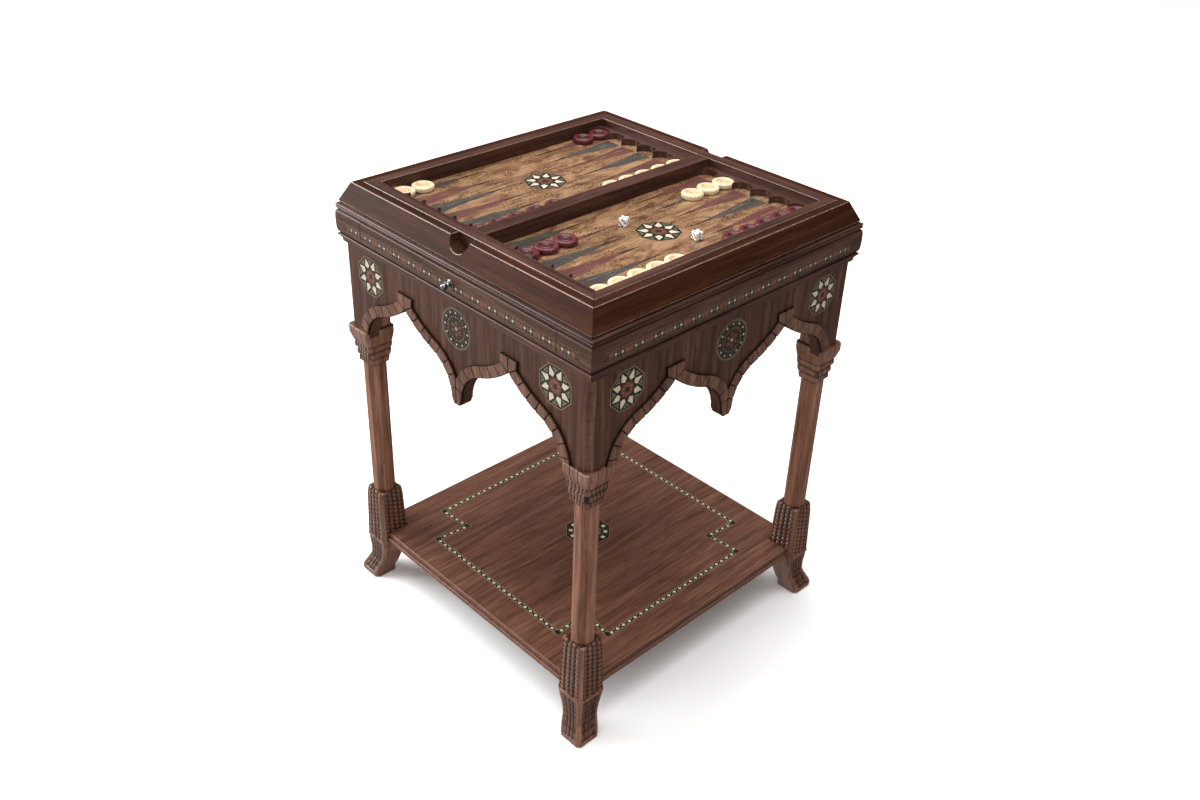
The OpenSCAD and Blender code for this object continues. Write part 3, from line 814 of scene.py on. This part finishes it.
def frieze_strip(bm, start, end, place, pitch):
    """A mosaic strip: pairs of pearl dots, red bars between the pairs, fine borders."""
    middle, half = 0, 7.2
    tile(bm, [(start, middle - half), (end, middle - half), (end, middle + half), (start, middle + half)],
         place, GROUND, UMBER)
    for edge in (-half, half - 0.8):
        tile(bm, [(start, edge), (end, edge), (end, edge + 0.8), (start, edge + 0.8)], place, RAISED, GREEN)
    first = math.ceil((start / pitch - 0.5) - 0.2)
    last = math.floor((end / pitch - 0.5) + 0.2)
    for k in range(first, last + 1):
        x = pitch * (k + 0.5)
        for dx in (-6, 6):
            tile(bm, ring_outline(2.1, 8, 0, (x + dx, 0)), place, RAISED, PEARL)
            for up in (-1, 1):
                tile(bm, ring_outline(2.0, 3, 90 * up, (x + dx, 4.1 * up)), place, RAISED, GREEN)
        tile(bm, [(x - 3, 0), (x, -4.4), (x + 3, 0), (x, 4.4)], place, RAISED, RED)
        for way in (-1, 1):
            tip = x + way * 9.2
            bar = [(tip, 0), (tip + way * 2.6, 4.6), (x + way * pitch / 2, 4.6), (x + way * pitch / 2, -4.6),
                   (tip + way * 2.6, -4.6)]
            bar = clip(clip(bar, lambda p: p[0] - start), lambda p: end - p[0])
            if len(bar) > 2:
                tile(bm, bar, place, RAISED - 0.02, RED)
            chip = [(tip + way * 3.4, 0), (tip + way * 5.2, 2), (tip + way * 7, 0), (tip + way * 5.2, -2)]
            chip = clip(clip(chip, lambda p: p[0] - start), lambda p: end - p[0])
            if len(chip) > 2:
                tile(bm, chip, place, RAISED + 0.02, GREEN)


def make_frieze_inlay():
    """The mosaic strip on each frieze board and on the drawer front."""
    strip_z = (FRIEZE_LOW + FRIEZE_HIGH) / 2 - 2.5
    reach, pitch = 263, 36.3
    bed = 0.12

    def place(u, v, h):
        return Vector((u, -(FRIEZE_FACE - bed + h), strip_z + v)) * MM

    spans = {"front": [(-reach, -DRAWER_HALF - 1.2), (DRAWER_HALF + 1.2, reach)]}
    for i, side in enumerate(SIDES):
        bm = bmesh.new()
        for start, end in spans.get(side, [(-reach, reach)]):
            frieze_strip(bm, start, end, place, pitch)
        bmesh.ops.recalc_face_normals(bm, faces=bm.faces)
        add_piece(f"frieze_mosaic_{side}", turned(bm, i), INLAY, "table", flat_faces=False)
    bm = bmesh.new()
    frieze_strip(bm, -DRAWER_HALF + 0.6, DRAWER_HALF - 0.6, place, pitch)
    bmesh.ops.recalc_face_normals(bm, faces=bm.faces)
    add_piece("drawer_mosaic", bm, INLAY, "drawer", flat_faces=False)


def band_route():
    """Centre line of the shelf's inlaid band: long straight runs with a notch at each corner."""
    run, tip, notch = 214.5, 158, 152
    quarter = [(run, -tip), (run, tip), (notch, notch)]
    route = []
    for k in range(4):
        c, s = round(math.cos(k * math.pi / 2)), round(math.sin(k * math.pi / 2))
        route += [(c * x - s * y, s * x + c * y) for x, y in quarter]
    return route


def mitred_offset(route, by):
    """The closed route moved sideways, with its corners mitred."""
    moved = []
    count = len(route)
    for i, p in enumerate(route):
        a, b = route[i - 1], route[(i + 1) % count]
        d1 = Vector((p[0] - a[0], p[1] - a[1])).normalized()
        d2 = Vector((b[0] - p[0], b[1] - p[1])).normalized()
        n1, n2 = Vector((-d1.y, d1.x)), Vector((-d2.y, d2.x))
        m = (n1 + n2).normalized()
        m *= by / max(0.3, m.dot(n1))
        moved.append((p[0] + m.x, p[1] + m.y))
    return moved


def make_shelf_inlay():
    """The shelf's inlaid band and its medallion."""
    bm = bmesh.new()
    place = on_top(SHELF_TOP)
    route = band_route()
    count = len(route)
    for outer, inner, top, material in ((4.6, 3.7, RAISED, GOLD), (3.7, -3.7, GROUND, EBONY),
                                        (-3.7, -4.6, RAISED, GOLD)):
        a, b = mitred_offset(route, outer), mitred_offset(route, inner)
        for i in range(count):
            j = (i + 1) % count
            tile(bm, [a[i], a[j], b[j], b[i]], place, top, material)
    for i in range(count):
        a, b = Vector(route[i]), Vector(route[(i + 1) % count])
        way = (b - a).normalized()
        side = Vector((-way.y, way.x))
        margin = 8
        length = (b - a).length - 2 * margin
        pieces = max(2, round(length / 6.6))
        for k in range(pieces + 1):
            c = a + way * (margin + length * k / pieces)
            if k % 2 == 0:
                shape = [c + way * 3.6, c + side * 3.0, c - way * 3.6, c - side * 3.0]
                tile(bm, [tuple(p) for p in shape], place, RAISED, IVORY)
            else:
                for up in (-1, 1):
                    shape = [c + way * 2.4 + side * up * 3.3, c - way * 2.4 + side * up * 3.3,
                             c + side * up * 0.8]
                    tile(bm, [tuple(p) for p in shape], place, RAISED, GOLD)
    shelf_medallion(bm, (0, 0), place, 42)
    bmesh.ops.recalc_face_normals(bm, faces=bm.faces)
    add_piece("shelf_inlay", bm, INLAY, "table", flat_faces=False)


# ---------- legs ----------

def cut_square(half, cut):
    """Corners of a square with cut corners, by side: front, right, back, left."""
    inner = half - cut
    return [[(-inner, -half), (inner, -half)], [(half, -inner), (half, inner)],
            [(inner, half), (-inner, half)],
            [(-half, inner), (-half, -inner)]]


def carved_loft(bm, stations, across, relief, material=0):
    """A tower of cut squares. stations are (z, centre, half, cut); relief(side, u, z) is carved inward. The
    deeper a point is carved, the more painted shade it carries.
    """
    layer = bm.verts.layers.float.get("hollow_shade") or bm.verts.layers.float.new("hollow_shade")
    normals = [(0, -1), (1, 0), (0, 1), (-1, 0)]
    rings = []
    for z, centre, half, cut in stations:
        ring = []
        for k, ((ax, ay), (bx, by)) in enumerate(cut_square(half, cut)):
            for i in range(across + 1):
                t = i / across
                depth = relief(k, 2 * t - 1, z)
                x = centre + ax + (bx - ax) * t - normals[k][0] * depth
                y = -centre + ay + (by - ay) * t - normals[k][1] * depth
                vert = bm.verts.new(Vector((x, y, z)) * MM)
                # Painted shade, stronger where the carving is deeper.
                vert[layer] = min(1, depth / 1.6)
                ring.append(vert)
        rings.append(ring)
    count = len(rings[0])
    for a, b in zip(rings, rings[1:]):
        for i in range(count):
            j = (i + 1) % count
            bm.faces.new((a[i], a[j], b[j], b[i])).material_index = material
    bm.faces.new(rings[0][::-1]).material_index = material
    bm.faces.new(rings[-1]).material_index = material


def stations_between(points, steps):
    """Stations along a smooth path through (z, centre, half, cut) points."""
    result = []
    for i in range(len(points) - 1):
        p0, p1, p2, p3 = (points[max(0, i - 1)], points[i], points[i + 1],
                          points[min(len(points) - 1, i + 2)])
        for k in range(steps):
            t = k / steps
            value = []
            for a, b, c, d in zip(p0, p1, p2, p3):
                value.append(0.5 * (2 * b + (c - a) * t + (2 * a - 5 * b + 4 * c - d) * t * t
                                    + (3 * b - a - 3 * c + d) * t ** 3))
            value[0] = p1[0] + (p2[0] - p1[0]) * t
            result.append(tuple(value))
    return result + [points[-1]]


def scales(side, u, z):
    """Columns of small upright ovals, each column half a step off the next."""
    columns, step, deep = 4, 8.6, 2.3
    column = (u + 1) / 2 * columns
    index = min(columns - 1, int(column))
    a = 2 * (column - index) - 1
    row = z / step + 0.5 * (index % 2)
    b = 2 * (row - math.floor(row)) - 1
    dome = max(0, 1 - a * a - b * b * 0.9)
    edge = 1 if abs(u) < 0.97 else 0
    return deep * (1 - math.sqrt(dome)) * edge


def foot_panel(side, u, z):
    """A sunk panel of upright beads inside a plain frame, on the two outer sides."""
    if side > 1:
        return 0
    bottom, top, frame_u = 8, RIDGE_Z - 4, 0.84
    if abs(u) > frame_u or not bottom < z < top:
        return 0
    rim = min((frame_u - abs(u)) / 0.08, (z - bottom) / 2.0, (top - z) / 2.0, 1)
    columns, step = 4, 10.5
    column = (u / frame_u + 1) / 2 * columns
    a = 2 * (column - math.floor(column)) - 1
    row = z / step
    b = 2 * (row - math.floor(row)) - 1
    dome = max(0, 1 - abs(a) ** 2.5) * max(0, 1 - abs(b) ** 4)
    return rim * (2.5 - 1.8 * math.sqrt(dome))


def no_relief(side, u, z):
    """A plain surface."""
    return 0


def post(bm):
    """The upright behind the aprons, with its chamfered corner strip."""
    apron_in = FACE - 18
    strip = apron_in - CORNER_CUT
    back = 2 * LEG - FACE + 2
    outline = [(FACE - CORNER_CUT, -FACE), (FACE, CORNER_CUT - FACE), (apron_in, -strip), (apron_in, -back),
               (back, -back), (back, -apron_in), (strip, -apron_in)]
    block(bm, outline, on_top(0), COLLAR_TOP - 1, APRON_TOP, 0.5)


def collar(bm):
    """The collar that takes the trim round the corner, with grooves between its blocks."""
    low_x = ARCH_X + ARCH_HALF
    mid = (TRIM_FACE + low_x) / 2
    half = (TRIM_FACE - low_x) / 2

    def grooves(side, u, z):
        """Upright grooves across the panel."""
        if side > 1:
            return 0
        cuts = (-0.36, 0.34) if side == 0 else (-0.34, 0.36)
        return max(0, 1.7 * (1 - min(abs(u - c) for c in cuts) / 0.045))

    rows = [(COLLAR_LOW, LEG, 23.5, 5), (COLLAR_LOW + 0.7, LEG, 24.2, 5),
            (COLLAR_MID, mid - 0.2, half - 0.3, 5),
            (COLLAR_MID + 1, mid, half, 5), (COLLAR_TOP - 1, mid, half, 5), (COLLAR_TOP, mid, half - 1, 5)]
    carved_loft(bm, rows, 60, grooves)


def capital(bm):
    """Three tiers of scallops on the outer sides, plain ribs on the inner ones."""
    tier_h = (COLLAR_LOW - SHAFT_TOP) / 3
    halves = [20, 22.5, 24]
    for tier, half in enumerate(halves):
        base = SHAFT_TOP + tier * tier_h

        def scallops(side, u, z, base=base, tier=tier):
            """Rounded lobes across the panel."""
            v = (z - base) / tier_h
            belly = 2.6 * (1 - math.sqrt(max(0, 1 - (2 * v - 1) ** 2)))
            if side > 1:
                return belly * 0.8
            bead = abs(math.cos(math.pi * (2.5 * (u + 1) + 0.5 * (tier % 2))))
            return min(2.6, belly + 1.5 * (1 - bead ** 0.7))

        rows = [(base + tier_h * k / 8, LEG, half, 6) for k in range(9)]
        carved_loft(bm, rows, 40, scallops)


def shaft(bm):
    """The leg's eight-sided shaft."""
    radius = SHAFT_W / 2 / math.cos(math.pi / 8)
    outline = [polar(radius, 22.5 + 45 * i, (LEG, -LEG)) for i in range(8)]
    block(bm, outline, on_top(0), BLOCK_TOP - 4, SHAFT_TOP + 1, 0.7)


def base_block(bm):
    """The carved block at the foot of the shaft."""
    levels = [(RIDGE_Z + 4, LEG, 26.5, 5.5), (BLOCK_TOP - 18, LEG, 24, 5), (BLOCK_TOP - 4, LEG, 22.6, 4.6)]
    rows = []
    for (z0, c0, h0, k0), (z1, c1, h1, k1) in zip(levels, levels[1:]):
        steps = round((z1 - z0) / 1.1)
        rows += [(z0 + (z1 - z0) * t / steps, c0, h0 + (h1 - h0) * t / steps, k0 + (k1 - k0) * t / steps)
                 for t in range(steps)]
    rows += [levels[-1], (BLOCK_TOP - 1.5, LEG, 21.8, 4.6), (BLOCK_TOP, LEG, 20.4, 4.6)]
    carved_loft(bm, rows, 40, scales)


def foot(bm):
    """The ridge and the splayed foot below it."""
    ridge = [(RIDGE_Z, LEG, 26.6, 6), (RIDGE_Z + 1.2, LEG, 27.5, 6), (RIDGE_Z + 3.6, LEG, 27.5, 6),
             (RIDGE_Z + 5, LEG, 26.6, 6)]
    carved_loft(bm, ridge, 2, no_relief)
    path = [(0, LEG + 13.5, 21.5, 6), (1.6, LEG + 14.5, 22.4, 5), (9, LEG + 14.5, 22.5, 4.5),
            (20, LEG + 10, 21.8, 4), (36, LEG + 4.4, 20.8, 4), (54, LEG + 1.8, 22.2, 4),
            (70, LEG + 0.4, 24.8, 4),
            (RIDGE_Z, LEG, 25.6, 4)]
    reach = max(centre + half for _, centre, half, _ in path)
    rows = [(z, centre, min(half, reach - centre), cut) for z, centre, half,
            cut in stations_between(path, 10)]
    carved_loft(bm, rows, 44, foot_panel)


def corner_strip(bm):
    """The lighter strip on the post's chamfer, made of short lengths."""
    middle, slant = FACE - CORNER_CUT / 2, math.sqrt(0.5)

    def place(u, v, h):
        return Vector((middle + (u + h) * slant, (u - h) * slant - middle, v)) * MM

    half, joints = CORNER_CUT * slant - 0.6, 7
    length = (APRON_TOP - COLLAR_TOP) / joints
    for k in range(joints):
        z = COLLAR_TOP + length * k
        outline = [(-half, z + 0.35), (half, z + 0.35), (half, z + length - 0.35), (-half, z + length - 0.35)]
        block(bm, outline, place, -0.3, 0.6, 0.4)


def make_legs():
    """Each leg as a plain piece and a carved piece, with its corner strip."""
    for i, corner in enumerate(CORNERS):
        plain = bmesh.new()
        post(plain)
        shaft(plain)
        bmesh.ops.recalc_face_normals(plain, faces=plain.faces)
        add_piece(f"leg_{corner}_plain", turned(plain, i), ["leg"], "table", (f"leg_{corner}",))
        strip = bmesh.new()
        corner_strip(strip)
        add_piece(f"corner_strip_{corner}", turned(strip, i), ["trim"], "table")
        cut = bmesh.new()
        collar(cut)
        capital(cut)
        base_block(cut)
        foot(cut)
        bmesh.ops.recalc_face_normals(cut, faces=cut.faces)
        add_piece(f"leg_{corner}_carving", turned(cut, i), ["carved"], "table", sharp=40,
                  flat_faces=False)


# ---------- mouldings ----------

def arc(centre, radius, start, end, steps=6):
    """Points along an arc."""
    return [polar(radius, start + (end - start) * k / steps, centre) for k in range(steps + 1)]


def moulding_runs(profile, quarter):
    """One mitred length of a moulding, whose profile is (distance out, z)."""
    gap = 0.1
    bm = bmesh.new()
    ends = []
    for way in (-1, 1):
        ends.append([bm.verts.new(Vector((way * (h - gap), -h, z)) * MM) for h, z in profile])
    count = len(profile)
    for i in range(count):
        j = (i + 1) % count
        bm.faces.new((ends[0][i], ends[0][j], ends[1][j], ends[1][i]))
    bm.faces.new(ends[0])
    bm.faces.new(ends[1][::-1])
    bmesh.ops.recalc_face_normals(bm, faces=bm.faces)
    return turned(bm, quarter)


def make_moulding(name, profile, keys, node):
    """One moulding from its profile."""
    bm = bmesh.new()
    for quarter in range(4):
        merge(bm, moulding_runs(profile, quarter))
    split_by_side(bm)
    add_piece(name, bm, keys, "table", (node,), sharp=28)


def make_mouldings():
    """The mouldings and the boards round the case."""
    back = 262
    bead_r = (BEAD_HIGH - FRIEZE_HIGH - 2.5) / 4
    step = FRIEZE_HIGH + 2.5
    upper = ([(back, BEAD_LOW), (281, BEAD_LOW), (281, step)]
             + arc((BEAD_FACE - bead_r, step + bead_r), bead_r, -90, 78)
             + arc((BEAD_FACE - bead_r, BEAD_HIGH - bead_r), bead_r, -78, 90) + [(back, BEAD_HIGH)])
    make_moulding("bead_moulding_finished", upper, ["bead_x", "bead_y"], "bead_moulding")
    nose = 2.1
    lower = ([(259, APRON_TOP), (277.4, APRON_TOP), (277.6, APRON_TOP + 2)]
             + arc((BEAD_FACE + 0.2, APRON_TOP + 3.6), 5.4, 197, 118, 8)
             + [(281.2, COVE_HIGH - 5)]
             + arc((BEAD_FACE - nose, COVE_HIGH - 2.5), nose, -90, 90, 8)
             + [(280.2, COVE_HIGH), (259, COVE_HIGH)])
    make_moulding("cove_moulding_finished", lower, ["bead_x", "bead_y"], "cove_moulding")
    eased("case_moulding", 0.9, ["case_x", "case_y"], "table", edge_highlight="edge_highlight")
    eased("frieze_boards", 0.5, ["frieze_x", "frieze_y"], "table")
    eased("drawer_front", 0.5, ["frieze_x"], "drawer")


# ---------- playing tray ----------

def point_outline(x, end, rng):
    """A playing point's tapering outline, with an uneven edge like hand-cut veneer."""
    base, tip_w, far = 15.5, 1.8, 88
    steps = 44
    left, right = [], []
    for k in range(steps + 1):
        t = k / steps
        y = POCKET_Y - 0.3 - (POCKET_Y - 0.3 - far) * t
        half = base + (tip_w - base) * t ** 0.92
        ragged = 0.3 + 1.6 * t * (1 - 0.5 * t)
        left.append((x - half + rng.uniform(-ragged, ragged), end * y))
        right.append((x + half + rng.uniform(-ragged, ragged), end * y))
    return left, right


def make_points():
    """Twelve coloured points in each well, each with a black needle at its tip."""
    rng = random.Random(7)
    bm = bmesh.new()
    place = on_top(FIELD_Z)
    for side in (-1, 1):
        for end in (-1, 1):
            for p in range(1, 7):
                x = side * (BAR_HALF + POINT_W * (p - 0.5))
                colour = 1 if (p % 2 == 1) == (side * end > 0) else 0
                left, right = point_outline(x, end, rng)
                for i in range(len(left) - 1):
                    prism(bm, [left[i], left[i + 1], right[i + 1], right[i]], place, -0.2, 0.05, colour)
                needle = [(x - 1.5, end * 96), (x - 2.1, end * 84), (x - 1.0, end * 64), (x, end * 44),
                          (x + 1.2, end * 66), (x + 2.0, end * 86), (x + 1.2, end * 97)]
                prism(bm, needle, place, -0.2, 0.09, 2)
    bmesh.ops.recalc_face_normals(bm, faces=bm.faces)
    add_piece("playing_points", bm, ["slate", "wine", "needle"], "game_tray", flat_faces=False)


def make_tray():
    """The playing tray's parts and its inlaid points."""
    eased("tray_rim", 0.8, ["rim_x", "rim_y"], "game_tray", edge_highlight="edge_highlight")
    eased("centre_bar", 0.7, ["rim_y"], "game_tray")
    eased("pocket_ledges", 0.7, ["ledge"], "game_tray", edge_highlight="edge_highlight")
    for side in ("left", "right"):
        eased(f"playing_field_{side}", 0.1, ["burl"], "game_tray", 1)
    make_points()
    bm = bmesh.new()
    place = on_top(FIELD_Z)
    for side in (-1, 1):
        star_medallion(bm, (side * (BAR_HALF + WELL_X) / 2, 0), place, 35, 0, IVORY)
    bmesh.ops.recalc_face_normals(bm, faces=bm.faces)
    add_piece("field_medallions", bm, INLAY, "game_tray", flat_faces=False)


# ---------- checkers, dice, drawer ----------

def checker_profile(radius, height):
    """Half profile of a turned checker: dished middle, two ridges and a rounded rim, same on both faces, with
    painted shade in the dish.
    """
    face = [(0, 2.3), (2.2, 2.2), (4.2, 1.7), (5.6, 1.1), (6.4, 0.9), (7.2, 1.0), (8.0, 1.7), (8.8, 1.9),
            (9.6, 1.5), (10.5, 0.5), (11.6, 0.06), (13.4, 0.0), (15.0, 0.1), (16.3, 0.45), (17.2, 1.1),
            (radius, 2.0)]
    lower = [(r, d) for r, d in face]
    upper = [(r, height - d) for r, d in reversed(face)]
    # Painted shade in the dish, stronger where it is deeper.
    hollow_shade = [min(1, d / 1.5) if r < 11 else 0 for r, d in face]
    return lower + upper, hollow_shade + hollow_shade[::-1]


def make_checkers():
    """The thirty turned checkers."""
    for tone, key, slot in (("red", "crimson", "red_checker"), ("cream", "cream", "boxwood")):
        for i in range(1, 16):
            node = f"{tone}_checker_{i:02d}"
            a, b = low(node), high(node)
            profile, hollow_shade = checker_profile((b[0] - a[0]) / 2, b[2] - a[2])
            bm = bmesh.new()
            centre = ((a[0] + b[0]) / 2, (a[1] + b[1]) / 2, a[2])
            revolve(bm, profile, centre, Z, 56, hollow_shade)
            add_piece(f"{node}_turned", bm, [key], node, (node,), sharp=60, flat_faces=False)


def make_dice():
    """The two dice. Opposite faces add to seven."""
    pips = {1: [(0, 0)], 2: [(-1, -1), (1, 1)], 3: [(-1, -1), (0, 0), (1, 1)],
            4: [(-1, -1), (-1, 1), (1, -1), (1, 1)], 5: [(-1, -1), (-1, 1), (0, 0), (1, -1), (1, 1)],
            6: [(-1, -1), (-1, 0), (-1, 1), (1, -1), (1, 0), (1, 1)]}
    faces = [((0, 0, 1), 5), ((0, 0, -1), 2), ((1, 0, 0), 3), ((-1, 0, 0), 4), ((0, 1, 0), 1),
             ((0, -1, 0), 6)]
    turns = {"die_01": math.radians(24), "die_02": math.radians(-12)}
    for node, turn in turns.items():
        a, b = low(node), high(node)
        edge = b[2] - a[2]
        spin = Matrix.Rotation(turn, 3, "Z")
        centre = Vector(((a[0] + b[0]) / 2, (a[1] + b[1]) / 2, (a[2] + b[2]) / 2))
        bm = bmesh.new()
        bmesh.ops.create_cube(bm, size=edge)
        bmesh.ops.bevel(bm, geom=list(bm.edges), offset=edge * 0.14, segments=4, profile=0.5, affect="EDGES")
        for normal, count in faces:
            n = Vector(normal)
            u = n.orthogonal().normalized()
            v = n.cross(u)
            for px, py in pips[count]:
                spot = n * (edge / 2 + 0.02) + (u * px + v * py) * edge * 0.25
                frame_turn = Matrix((u, v, n)).transposed()
                rim = [bm.verts.new(spot + frame_turn @ Vector((*polar(edge * 0.105, 30 * k), 0)))
                       for k in range(12)]
                sunk = bm.verts.new(spot - n * 0.02)
                for k in range(12):
                    bm.faces.new((rim[k], rim[(k + 1) % 12], sunk)).material_index = 1
        for vert in bm.verts:
            vert.co = (spin @ vert.co + centre) * MM
        add_piece(f"{node}_cube", bm, ["dice", "pip"], node, (node,), sharp=50)


def make_knob():
    """The drawer's turned knob."""
    back, front = high("drawer_knob")[1], low("drawer_knob")[1]
    reach = back - front
    height = (low("drawer_knob")[2] + high("drawer_knob")[2]) / 2
    ball = 5.3
    profile = [(0, 0), (7.4, 0), (7.4, 0.9), (6.6, 1.5), (5.4, 1.6), (5.4, 2.1), (6.1, 2.4), (6.1, 3.1),
               (4.8, 3.6),
               (3.6, 3.7), (3.6, 4.2), (2.6, 4.9), (2.2, 5.8)]
    profile += [(ball * math.sin(math.radians(a)), reach - ball - ball * math.cos(math.radians(a)))
                for a in range(25, 180, 11)]
    profile.append((0, reach))
    bm = bmesh.new()
    revolve(bm, profile, (0, back, height), Y, 40)
    add_piece("drawer_knob_turned", bm, ["metal"], "drawer", ("drawer_knob",), sharp=50,
              flat_faces=False)


def make_carcass():
    """The shelf, and the plain boards inside the case, which keep their CAD shape."""
    eased("shelf", 1.6, ["shelf"], "table", 3, edge_highlight="edge_highlight")
    for node, key in (("carcass_bottom", "raw_x"), ("case_floor", "raw_x"), ("drawer_guides", "raw_y")):
        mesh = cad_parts[node].data
        mesh.materials.clear()
        mesh.materials.append(M[key])


def make_drawer_box():
    """The drawer's four walls and its bottom, as separate boards with eased edges."""
    wall = 8
    base = 5
    ease = 0.9
    (x0, y0, z0), (x1, y1, z1) = low("drawer_box"), high("drawer_box")
    boards = [
        (x0, x0 + wall, y0, y1, z1, 0),
        (x1 - wall, x1, y0, y1, z1, 0),
        (x0 + wall, x1 - wall, y0, y0 + wall, z1, 1),
        (x0 + wall, x1 - wall, y1 - wall, y1, z1, 1),
        (x0 + wall, x1 - wall, y0 + wall, y1 - wall, z0 + base, 1),
    ]
    bm = bmesh.new()
    for left, right, front, back, top, material in boards:
        outline = [(left, front), (right, front), (right, back), (left, back)]
        block(bm, outline, on_top(z0), 0, top - z0, ease, material)
    add_piece("drawer_boards", bm, ["raw_y", "raw_x"], "drawer", ("drawer_box",))


make_camera()
make_light()
make_floor()
make_arches()
make_apron_inlay()
make_legs()
make_mouldings()
make_frieze_inlay()
make_carcass()
make_drawer_box()
make_shelf_inlay()
make_tray()
make_checkers()
make_dice()
make_knob()
